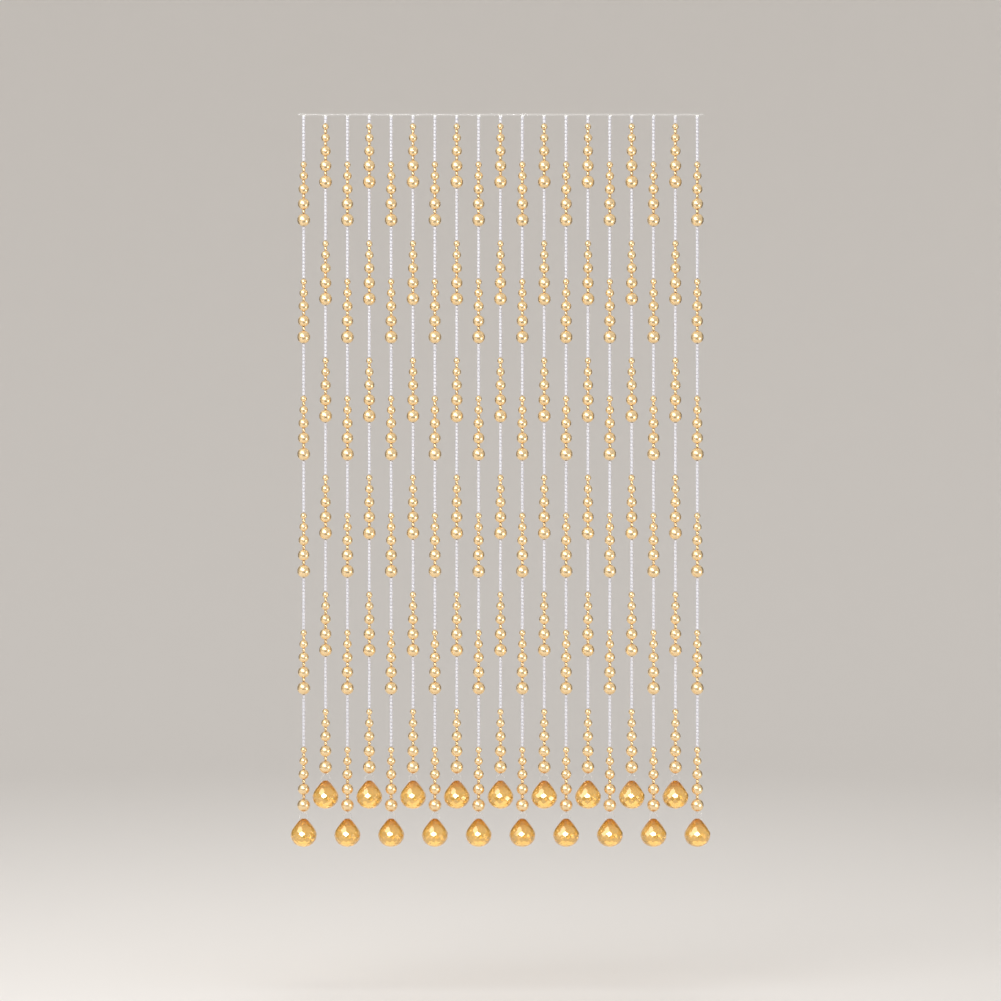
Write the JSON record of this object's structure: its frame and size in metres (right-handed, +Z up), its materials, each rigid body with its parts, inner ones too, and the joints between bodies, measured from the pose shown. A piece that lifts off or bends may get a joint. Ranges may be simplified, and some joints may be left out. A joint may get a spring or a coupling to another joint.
{
  "type": "bead curtain",
  "caption": "Doorway bead curtain: staggered strands of white seed beads and graduated gold pearl beads under a slim clear heading, each ending in a faceted amber drop.",
  "frame": {"origin": "middle of the heading strip's top face, by which the curtain is held up", "axes": "+X along the curtain's width, -Y towards the viewer of its front, +Z up"},
  "size_m": [0.8054, 0.0494, 1.4073],
  "materials": {
    "clear_plastic": "clear flexible plastic, glossy",
    "clear_line": "clear nylon line, glossy",
    "gold_pearl": "champagne gold imitation pearl, smooth and glossy",
    "white_seed": "milky white seed bead, glossy",
    "amber_crystal": "amber cut crystal, clear and glossy"
  },
  "bodies": {
    "root": {"heading_strip": "clear_plastic", "strand_01": "gold_pearl", "loop_01": "clear_line", "drop_01": "amber_crystal", "strand_02": "gold_pearl", "loop_02": "clear_line", "drop_02": "amber_crystal", "strand_03": "gold_pearl", "loop_03": "clear_line", "drop_03": "amber_crystal", "strand_04": "gold_pearl", "loop_04": "clear_line", "drop_04": "amber_crystal", "strand_05": "gold_pearl", "loop_05": "clear_line", "drop_05": "amber_crystal", "strand_06": "gold_pearl", "loop_06": "clear_line", "drop_06": "amber_crystal", "strand_07": "gold_pearl", "loop_07": "clear_line", "drop_07": "amber_crystal", "strand_08": "gold_pearl", "loop_08": "clear_line", "drop_08": "amber_crystal", "strand_09": "gold_pearl", "loop_09": "clear_line", "drop_09": "amber_crystal", "strand_10": "gold_pearl", "loop_10": "clear_line", "drop_10": "amber_crystal", "strand_11": "gold_pearl", "loop_11": "clear_line", "drop_11": "amber_crystal", "strand_12": "gold_pearl", "loop_12": "clear_line", "drop_12": "amber_crystal", "strand_13": "gold_pearl", "loop_13": "clear_line", "drop_13": "amber_crystal", "strand_14": "gold_pearl", "loop_14": "clear_line", "drop_14": "amber_crystal", "strand_15": "gold_pearl", "loop_15": "clear_line", "drop_15": "amber_crystal", "strand_16": "gold_pearl", "loop_16": "clear_line", "drop_16": "amber_crystal", "strand_17": "gold_pearl", "loop_17": "clear_line", "drop_17": "amber_crystal", "strand_18": "gold_pearl", "loop_18": "clear_line", "drop_18": "amber_crystal", "strand_19": "gold_pearl", "loop_19": "clear_line", "drop_19": "amber_crystal"}
  },
  "joints": []
}
